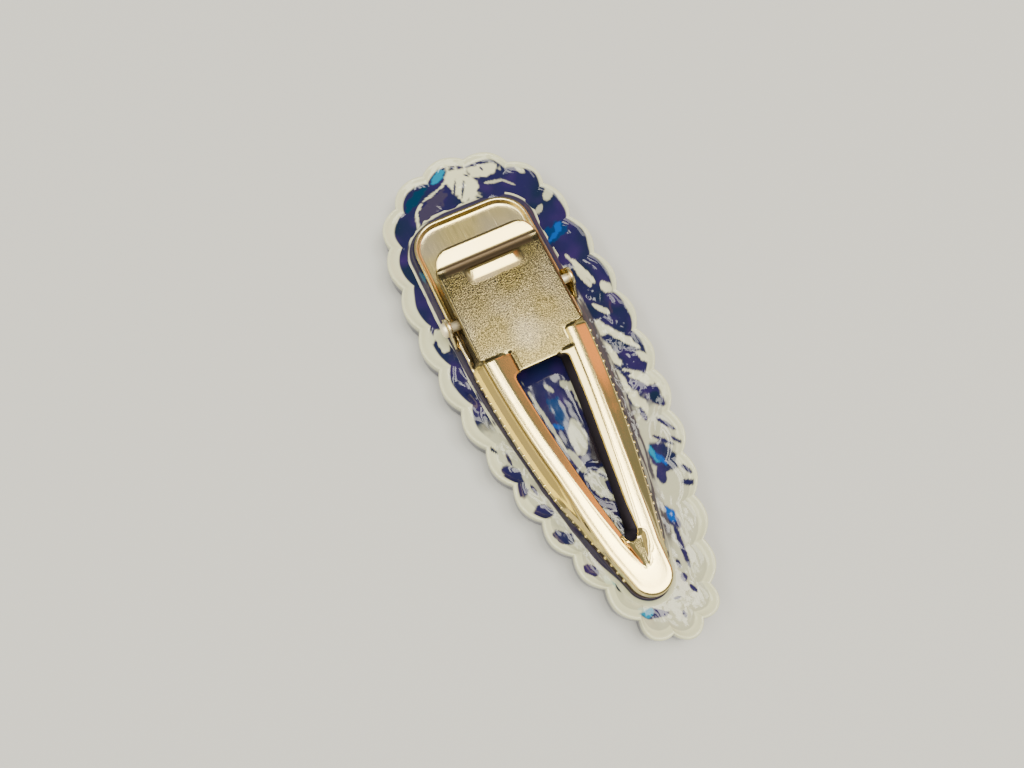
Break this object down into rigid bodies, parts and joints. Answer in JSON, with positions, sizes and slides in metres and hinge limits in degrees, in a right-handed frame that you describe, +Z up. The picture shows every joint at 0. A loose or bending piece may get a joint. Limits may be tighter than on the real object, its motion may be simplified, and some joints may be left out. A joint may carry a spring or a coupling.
{
  "type": "hair clip",
  "caption": "Hair clip: a teardrop plate of cast resin with a scalloped edge, lying face down, and a sprung metal clip with a windowed lever bedded on its back.",
  "frame": {"origin": "middle of the footprint, on the ornament's front face, which lies down", "axes": "+X along the clip from the press end to the tip of the jaws, +Z up through the clip, +Y across"},
  "size_m": [0.0762, 0.0298, 0.0101],
  "materials": {
    "resin": "glossy cast",
    "bed_resin": "glossy cast",
    "gilt_sheet": "satin gilt",
    "gilt_pin": "polished gilt",
    "spring_wire": "drawn wire"
  },
  "bodies": {
    "clip_base": {"resin_ornament": "resin", "glue_bed": "bed_resin", "base_plate": "gilt_sheet", "hinge_pin": "gilt_pin", "torsion_spring": "spring_wire"},
    "lever": {"lever": "gilt_sheet"}
  },
  "joints": [
    {"name": "lever_hinge", "type": "hinge", "parent": "clip_base", "child": "lever", "pos_m": [-0.011, -0.0012, 0.00716], "axis": [0, -1, 0], "range_deg": [0, 17], "stiffness_Nm_per_rad": 0.08, "springref_deg": -34.38, "deforming": ["torsion_spring"]}
  ]
}
